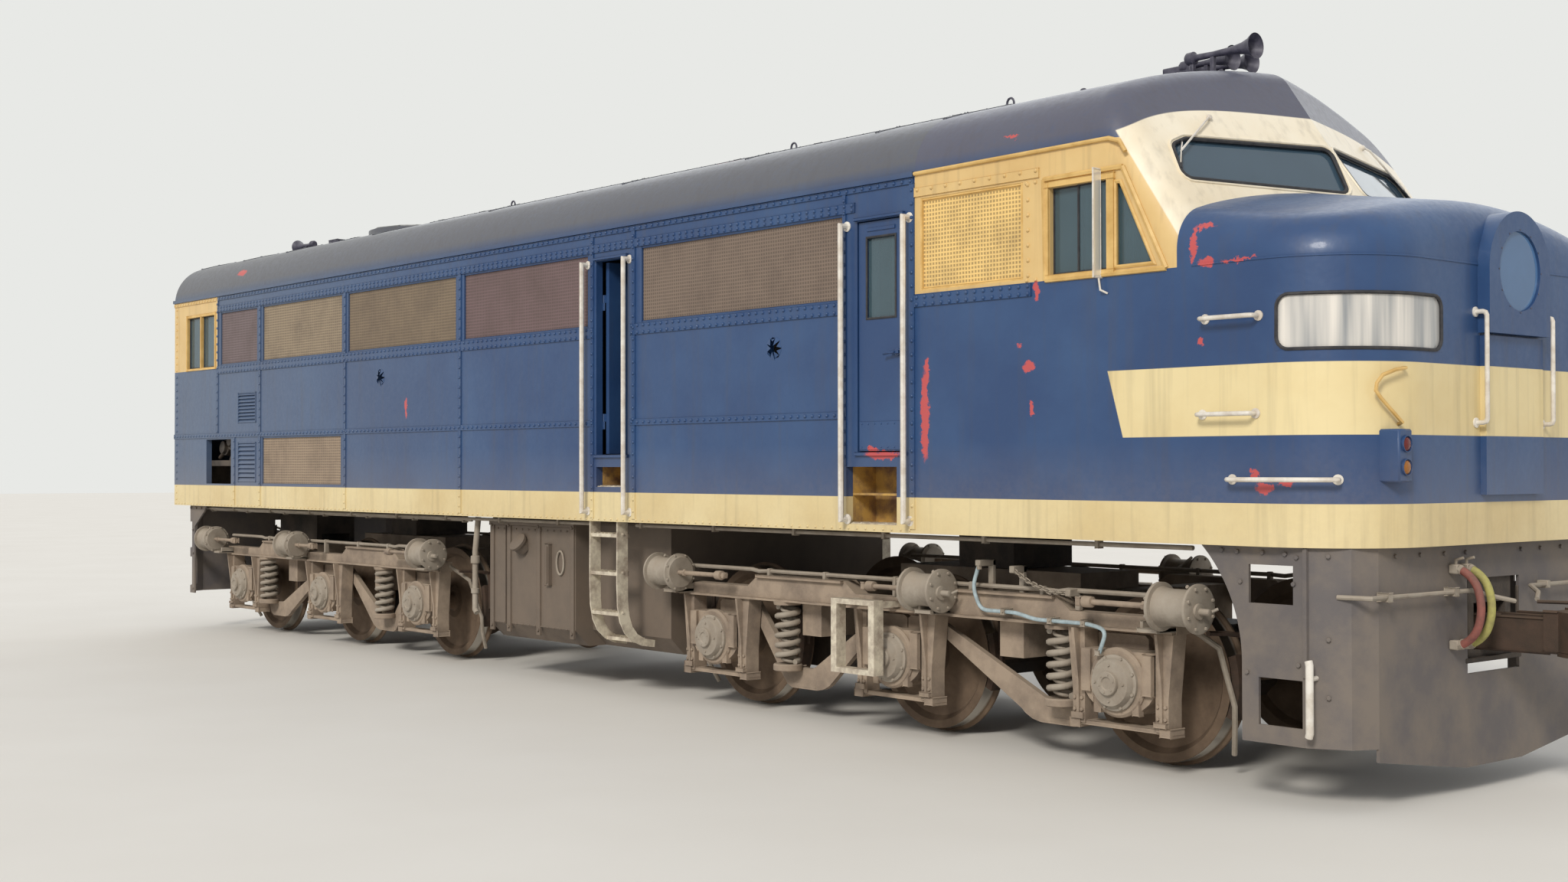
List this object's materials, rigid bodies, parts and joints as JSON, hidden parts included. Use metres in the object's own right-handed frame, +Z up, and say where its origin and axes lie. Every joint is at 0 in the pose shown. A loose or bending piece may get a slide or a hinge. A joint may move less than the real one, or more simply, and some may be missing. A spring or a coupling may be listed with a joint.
{
  "type": "diesel locomotive",
  "caption": "Diesel locomotive with a grilled full-width body, a streamlined cab at one end, swivelling bogies, hinged doors and a roof fan.",
  "frame": {"origin": "middle of the length and of the track, at the lowest point of the wheel flanges", "axes": "+X to the nose, +Y to the driver's left, +Z up"},
  "size_m": [16.3, 3.116, 4.4541],
  "materials": {
    "wheel_steel": "rolled steel, worn bright on the tread, dusty rust elsewhere",
    "bogie_paint": "dusty grey paint over cast steel",
    "bogie_casting": "dust-covered cast steel",
    "motor_casing": "oily dark casting",
    "blue_paint": "gloss blue enamel, faded",
    "cream_paint": "cream and yellow enamel",
    "grille_metal": "painted wire mesh, dusty",
    "roof_paint": "faded blue paint with soot",
    "underframe_steel": "black paint, dusty",
    "coupler_steel": "bare cast steel, brown with rust",
    "inside_paint": "pale green enamel",
    "seat_vinyl": "black vinyl",
    "tank_paint": "grey paint, dusty",
    "yellow_paint": "yellow enamel, scuffed",
    "rail_paint": "off-white enamel",
    "horn_metal": "dark paint, dull",
    "marker_plastic": "red and amber lenses in a grey case",
    "hose_rubber": "braided rubber hose, pale with dust",
    "milky_glass": "frosted",
    "glass": "tinted safety glass"
  },
  "bodies": {
    "body": {"brake_hoses": "hose_rubber", "side_right": "blue_paint", "side_left": "blue_paint", "grilles_right": "grille_metal", "grilles_left": "grille_metal", "roof": "roof_paint", "roof_hatches": "roof_paint", "fan_guard": "grille_metal", "fan_drive": "motor_casing", "underframe": "underframe_steel", "couplers": "coupler_steel", "nose_shell": "blue_paint", "number_glass": "milky_glass", "cab_shell": "cream_paint", "windscreens": "glass", "rear_wall": "blue_paint", "bulkhead": "inside_paint", "side_glass": "glass", "step_pockets": "underframe_steel", "engine_block": "motor_casing", "control_desk": "inside_paint", "seats": "seat_vinyl", "fuel_tank": "tank_paint", "side_ladders": "yellow_paint", "pilots": "yellow_paint", "headlight_housing": "blue_paint", "headlight_glass": "milky_glass", "marker_lights": "marker_plastic", "handrails": "rail_paint", "grab_irons": "rail_paint", "horns": "horn_metal"},
    "bogie_front": {"bogie_frame_front": "bogie_paint", "bogie_axleboxes_front": "bogie_casting", "bogie_suspension_front": "bogie_casting", "bogie_brake_gear_front": "bogie_paint", "bogie_motors_front": "motor_casing", "bogie_steps": "bogie_paint", "bogie_hoses": "hose_rubber"},
    "bogie_rear": {"bogie_frame_rear": "bogie_paint", "bogie_axleboxes_rear": "bogie_casting", "bogie_suspension_rear": "bogie_casting", "bogie_brake_gear_rear": "bogie_paint", "bogie_motors_rear": "motor_casing"},
    "wheelset_front_1": {"wheelset_front_1": "wheel_steel"},
    "wheelset_front_2": {"wheelset_front_2": "wheel_steel"},
    "wheelset_front_3": {"wheelset_front_3": "wheel_steel"},
    "wheelset_rear_1": {"wheelset_rear_1": "wheel_steel"},
    "wheelset_rear_2": {"wheelset_rear_2": "wheel_steel"},
    "wheelset_rear_3": {"wheelset_rear_3": "wheel_steel"},
    "engine_door_right": {"engine_door_right": "blue_paint"},
    "cab_door_right": {"cab_door_right": "blue_paint", "cab_door_glass_right": "glass"},
    "engine_door_left": {"engine_door_left": "blue_paint"},
    "cab_door_left": {"cab_door_left": "blue_paint", "cab_door_glass_left": "glass"},
    "rear_door": {"rear_door": "blue_paint"},
    "radiator_fan": {"radiator_fan": "grille_metal"}
  },
  "joints": [
    {"name": "bogie_front_swivel", "type": "hinge", "parent": "body", "child": "bogie_front", "pos_m": [3.85, 0, 1.1], "axis": [0, 0, 1], "range_deg": [-4, 4]},
    {"name": "bogie_rear_swivel", "type": "hinge", "parent": "body", "child": "bogie_rear", "pos_m": [-4.42, 0, 1.1], "axis": [0, 0, 1], "range_deg": [-4, 4]},
    {"name": "axle_front_1", "type": "hinge", "parent": "bogie_front", "child": "wheelset_front_1", "pos_m": [5.755, 0, 0.536], "axis": [0, 1, 0], "continuous": true},
    {"name": "axle_front_2", "type": "hinge", "parent": "bogie_front", "child": "wheelset_front_2", "pos_m": [3.85, 0, 0.536], "axis": [0, 1, 0], "continuous": true},
    {"name": "axle_front_3", "type": "hinge", "parent": "bogie_front", "child": "wheelset_front_3", "pos_m": [1.945, 0, 0.536], "axis": [0, 1, 0], "continuous": true},
    {"name": "axle_rear_1", "type": "hinge", "parent": "bogie_rear", "child": "wheelset_rear_1", "pos_m": [-6.325, 0, 0.536], "axis": [0, 1, 0], "continuous": true},
    {"name": "axle_rear_2", "type": "hinge", "parent": "bogie_rear", "child": "wheelset_rear_2", "pos_m": [-4.42, 0, 0.536], "axis": [0, 1, 0], "continuous": true},
    {"name": "axle_rear_3", "type": "hinge", "parent": "bogie_rear", "child": "wheelset_rear_3", "pos_m": [-2.515, 0, 0.536], "axis": [0, 1, 0], "continuous": true},
    {"name": "engine_door_right_hinge", "type": "hinge", "parent": "body", "child": "engine_door_right", "pos_m": [0.804, -1.403, 2.6], "axis": [0, 0, 1], "range_deg": [-90, 5]},
    {"name": "engine_door_left_hinge", "type": "hinge", "parent": "body", "child": "engine_door_left", "pos_m": [0.804, 1.403, 2.6], "axis": [0, 0, -1], "range_deg": [0, 95]},
    {"name": "cab_door_right_hinge", "type": "hinge", "parent": "body", "child": "cab_door_right", "pos_m": [3.814, -1.403, 2.6], "axis": [0, 0, 1], "range_deg": [0, 95]},
    {"name": "cab_door_left_hinge", "type": "hinge", "parent": "body", "child": "cab_door_left", "pos_m": [3.814, 1.403, 2.6], "axis": [0, 0, -1], "range_deg": [0, 95]},
    {"name": "rear_door_hinge", "type": "hinge", "parent": "body", "child": "rear_door", "pos_m": [-7.478, 0.326, 2.7], "axis": [0, 0, 1], "range_deg": [0, 90]},
    {"name": "radiator_fan_spin", "type": "hinge", "parent": "body", "child": "radiator_fan", "pos_m": [-4.35, 0, 4], "axis": [0, 0, 1], "continuous": true}
  ]
}
